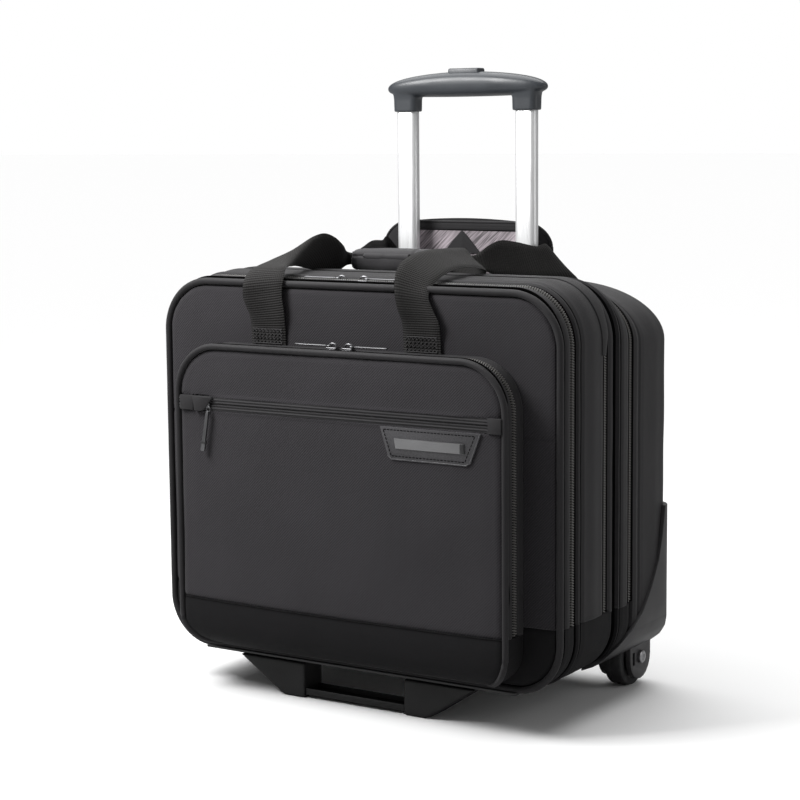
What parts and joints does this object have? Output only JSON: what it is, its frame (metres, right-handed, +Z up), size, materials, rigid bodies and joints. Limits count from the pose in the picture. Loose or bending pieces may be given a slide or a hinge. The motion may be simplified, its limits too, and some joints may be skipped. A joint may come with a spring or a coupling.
{
  "type": "rolling laptop case",
  "caption": "Soft-sided wheeled laptop case with zipped compartments, a front pocket, two carry handles in one wrap and a telescopic trolley handle.",
  "frame": {"origin": "on the floor plane under the middle of the object's box", "axes": "+Z up along the trolley tubes, -Y towards the front pocket, X from left to right seen from the front"},
  "size_m": [0.4284, 0.259, 0.576],
  "materials": {
    "shell_nylon": "fine plain-weave nylon, matt",
    "boot_nylon": "coated nylon, slightly smoother",
    "lining": "printed polyester lining",
    "piping": "corded piping, satin",
    "zip_tape": "woven zip tape with nylon coil",
    "webbing": "ribbed nylon webbing",
    "housing_plastic": "moulded, fine texture",
    "black_plastic": "moulded, satin",
    "grip_plastic": "moulded, semi-gloss",
    "tyre": "solid polyurethane tread, matt",
    "aluminium": "anodised, satin",
    "chrome": "plated, polished",
    "steel": "plated bolt",
    "badge_leather": "embossed leather-look patch",
    "badge_metal": "brushed plate, blank"
  },
  "bodies": {
    "root": {"rear_shell": "shell_nylon", "back_panel": "shell_nylon", "base_tray": "boot_nylon", "base_front": "boot_nylon", "base_board": "black_plastic", "back_board": "black_plastic", "zipper_rear": "zip_tape", "pocket_base": "boot_nylon", "outer_tube_left": "aluminium", "outer_tube_right": "aluminium", "tube_bracket": "black_plastic", "tube_bezel": "black_plastic", "corner_guard_left": "housing_plastic", "corner_guard_right": "housing_plastic", "wheel_axle_left": "steel", "wheel_axle_right": "steel", "foot_left": "housing_plastic", "foot_right": "housing_plastic", "foot_bar": "housing_plastic"},
    "rear_module": {"rear_module": "shell_nylon", "zipper_middle": "zip_tape"},
    "middle_module": {"middle_module": "shell_nylon", "zipper_front": "zip_tape"},
    "front_panel": {"front_panel": "shell_nylon", "front_piping": "piping", "pocket_frame": "shell_nylon", "zipper_pocket": "zip_tape"},
    "pocket_lid": {"pocket_lid": "shell_nylon", "pocket_piping": "piping", "zipper_slip": "zip_tape", "badge_patch": "badge_leather", "badge_plate": "badge_metal"},
    "front_handle": {"front_handle": "webbing", "handle_wrap": "webbing"},
    "rear_handle": {"rear_handle": "webbing"},
    "cover_flap": {"cover_flap": "lining"},
    "trolley_middle": {"middle_tube_left": "aluminium", "middle_tube_right": "aluminium"},
    "trolley_upper": {"upper_tube_left": "aluminium", "upper_tube_right": "aluminium", "trolley_grip": "grip_plastic"},
    "release_button": {"release_button": "grip_plastic"},
    "wheel_left": {"wheel_tyre_left": "tyre", "wheel_hub_left": "black_plastic"},
    "wheel_right": {"wheel_tyre_right": "tyre", "wheel_hub_right": "black_plastic"},
    "pocket_slider_left": {"pocket_slider_left": "chrome"},
    "pocket_slider_right": {"pocket_slider_right": "chrome"},
    "front_slider_left": {"front_slider_left": "chrome"},
    "front_slider_right": {"front_slider_right": "chrome"},
    "middle_slider_left": {"middle_slider_left": "chrome"},
    "middle_slider_right": {"middle_slider_right": "chrome"},
    "rear_slider_left": {"rear_slider_left": "chrome"},
    "rear_slider_right": {"rear_slider_right": "chrome"},
    "slip_slider": {"slip_slider": "chrome"},
    "pocket_slider_pull_left": {"pocket_slider_pull_left": "chrome"},
    "pocket_slider_pull_right": {"pocket_slider_pull_right": "chrome"},
    "front_slider_pull_left": {"front_slider_pull_left": "chrome"},
    "front_slider_pull_right": {"front_slider_pull_right": "chrome"},
    "slip_slider_pull": {"slip_slider_pull": "chrome"}
  },
  "joints": [
    {"name": "rear_compartment_open", "type": "hinge", "parent": "root", "child": "rear_module", "pos_m": [0, -0.1257, 0.089], "axis": [1, 0, 0], "range_deg": [0, 10]},
    {"name": "middle_compartment_open", "type": "hinge", "parent": "rear_module", "child": "middle_module", "pos_m": [0, -0.1257, 0.089], "axis": [1, 0, 0], "range_deg": [0, 10]},
    {"name": "front_compartment_open", "type": "hinge", "parent": "middle_module", "child": "front_panel", "pos_m": [0, -0.1257, 0.089], "axis": [1, 0, 0], "range_deg": [0, 25]},
    {"name": "front_pocket_open", "type": "hinge", "parent": "front_panel", "child": "pocket_lid", "pos_m": [0, -0.1257, 0.089], "axis": [1, 0, 0], "range_deg": [0, 20]},
    {"name": "front_handle_swing", "type": "hinge", "parent": "front_panel", "child": "front_handle", "pos_m": [0, -0.097, 0.346], "axis": [1, 0, 0], "range_deg": [0, 95]},
    {"name": "rear_handle_swing", "type": "hinge", "parent": "root", "child": "rear_handle", "pos_m": [0, 0.1238, 0.378], "axis": [1, 0, 0], "range_deg": [-7.6, 0]},
    {"name": "cover_flap_fold", "type": "hinge", "parent": "root", "child": "cover_flap", "pos_m": [0, 0.12675, 0.373], "axis": [1, 0, 0], "range_deg": [-100, 0]},
    {"name": "trolley_middle_slide", "type": "slide", "parent": "root", "child": "trolley_middle", "axis": [0, 0, 1], "range_m": [0, 0.25]},
    {"name": "trolley_upper_slide", "type": "slide", "parent": "trolley_middle", "child": "trolley_upper", "axis": [0, 0, 1], "range_m": [-0.13, 0.12]},
    {"name": "release_button_press", "type": "slide", "parent": "trolley_upper", "child": "release_button", "axis": [0, 0, -1], "range_m": [0, 0.004], "stiffness_N_per_m": 400, "springref_m": -0.002},
    {"name": "wheel_left_spin", "type": "hinge", "parent": "root", "child": "wheel_left", "pos_m": [-0.175, 0.1015, 0.028], "axis": [1, 0, 0], "continuous": true},
    {"name": "wheel_right_spin", "type": "hinge", "parent": "root", "child": "wheel_right", "pos_m": [0.175, 0.1015, 0.028], "axis": [1, 0, 0], "continuous": true},
    {"name": "pocket_slider_left_slide", "type": "slide", "parent": "front_panel", "child": "pocket_slider_left", "axis": [1, 0, 0], "range_m": [-0.109, 0.002]},
    {"name": "pocket_slider_right_slide", "type": "slide", "parent": "front_panel", "child": "pocket_slider_right", "axis": [1, 0, 0], "range_m": [-0.002, 0.11]},
    {"name": "front_slider_left_slide", "type": "slide", "parent": "middle_module", "child": "front_slider_left", "axis": [1, 0, 0], "range_m": [-0.125, 0.005]},
    {"name": "front_slider_right_slide", "type": "slide", "parent": "middle_module", "child": "front_slider_right", "axis": [1, 0, 0], "range_m": [-0.005, 0.15]},
    {"name": "middle_slider_left_slide", "type": "slide", "parent": "rear_module", "child": "middle_slider_left", "axis": [1, 0, 0], "range_m": [-0.125, 0.004]},
    {"name": "middle_slider_right_slide", "type": "slide", "parent": "rear_module", "child": "middle_slider_right", "axis": [1, 0, 0], "range_m": [-0.004, 0.15]},
    {"name": "rear_slider_left_slide", "type": "slide", "parent": "root", "child": "rear_slider_left", "axis": [1, 0, 0], "range_m": [-0.125, 0.004]},
    {"name": "rear_slider_right_slide", "type": "slide", "parent": "root", "child": "rear_slider_right", "axis": [1, 0, 0], "range_m": [-0.004, 0.14]},
    {"name": "slip_slider_slide", "type": "slide", "parent": "pocket_lid", "child": "slip_slider", "axis": [1, 0, 0], "range_m": [0, 0.288]},
    {"name": "pocket_slider_pull_left_swing", "type": "hinge", "parent": "pocket_slider_left", "child": "pocket_slider_pull_left", "pos_m": [-0.0152, -0.107, 0.3294], "axis": [0, 1, 0], "range_deg": [0, 90]},
    {"name": "pocket_slider_pull_right_swing", "type": "hinge", "parent": "pocket_slider_right", "child": "pocket_slider_pull_right", "pos_m": [0.0122, -0.107, 0.3294], "axis": [0, -1, 0], "range_deg": [0, 90]},
    {"name": "front_slider_pull_left_swing", "type": "hinge", "parent": "front_slider_left", "child": "front_slider_pull_left", "pos_m": [-0.0302, -0.0695, 0.3864], "axis": [0, 1, 0], "range_deg": [0, 90]},
    {"name": "front_slider_pull_right_swing", "type": "hinge", "parent": "front_slider_right", "child": "front_slider_pull_right", "pos_m": [0.0042, -0.0695, 0.3864], "axis": [0, -1, 0], "range_deg": [0, 90]},
    {"name": "slip_slider_pull_swing", "type": "hinge", "parent": "slip_slider", "child": "slip_slider_pull", "pos_m": [-0.14, -0.1279, 0.2673], "axis": [-1, 0, 0], "range_deg": [0, 100]}
  ],
  "couplings": [
    {"joint": "rear_handle_swing", "follows": "front_handle_swing", "ratio": -0.08}
  ]
}
